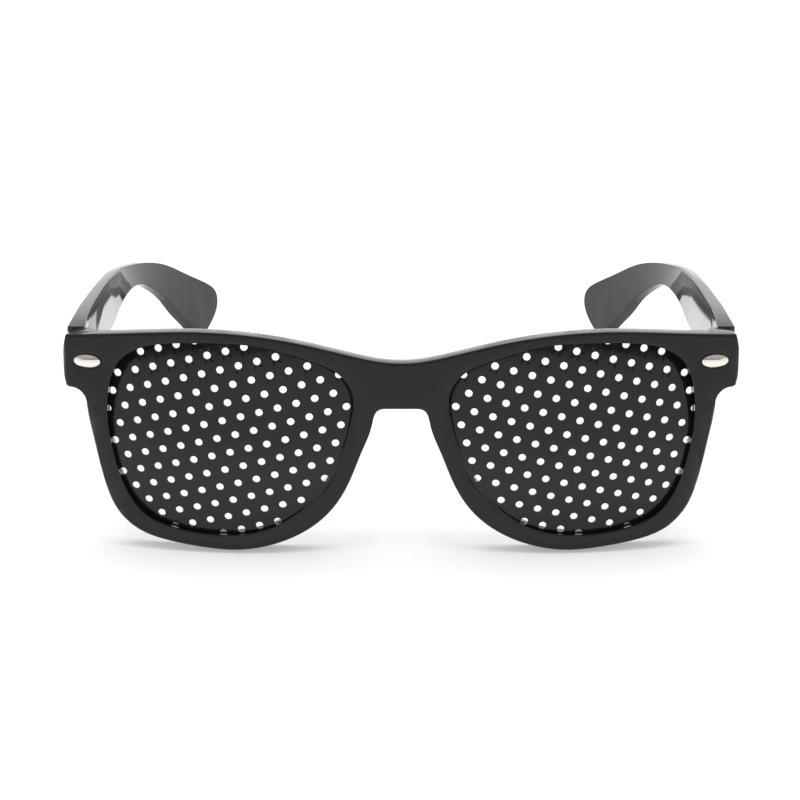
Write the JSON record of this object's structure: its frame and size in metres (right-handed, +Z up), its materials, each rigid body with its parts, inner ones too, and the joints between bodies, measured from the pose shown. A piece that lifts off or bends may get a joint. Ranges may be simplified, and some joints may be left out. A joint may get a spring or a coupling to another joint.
{
  "type": "pinhole glasses",
  "caption": "Pinhole glasses with a thick moulded front, domed perforated plates in place of lenses, oval end studs and folding temples.",
  "frame": {"origin": "middle of the box of the open glasses, on the surface that they rest on with rims and temple tips", "axes": "+X to the right as seen from the front, +Y from the front back to the temple tips, +Z up"},
  "size_m": [0.1506, 0.1486, 0.0479],
  "materials": {
    "frame_plastic": "glossy black moulded plastic",
    "temple_plastic": "glossy black moulded plastic",
    "plate_plastic": "satin black moulded plastic",
    "stud_metal": "polished bright metal",
    "hinge_metal": "plated steel",
    "screw_metal": "bright steel"
  },
  "bodies": {
    "root": {"frame_front": "frame_plastic", "pinhole_lens_left": "plate_plastic", "pinhole_lens_right": "plate_plastic", "end_stud_left": "stud_metal", "end_stud_right": "stud_metal", "front_hinge_leaf_left": "hinge_metal", "front_hinge_leaf_right": "hinge_metal", "hinge_screw_left": "screw_metal", "hinge_screw_right": "screw_metal"},
    "temple_left": {"temple_left": "temple_plastic", "temple_hinge_leaf_left": "hinge_metal"},
    "temple_right": {"temple_right": "temple_plastic", "temple_hinge_leaf_right": "hinge_metal"}
  },
  "joints": [
    {"name": "temple_left_fold", "type": "hinge", "parent": "root", "child": "temple_left", "pos_m": [-0.0674, -0.05465, 0.03902], "axis": [0, -0.1422, -0.9898], "range_deg": [0, 84]},
    {"name": "temple_right_fold", "type": "hinge", "parent": "root", "child": "temple_right", "pos_m": [0.0674, -0.05465, 0.03902], "axis": [0, 0.1422, 0.9898], "range_deg": [0, 67]}
  ]
}
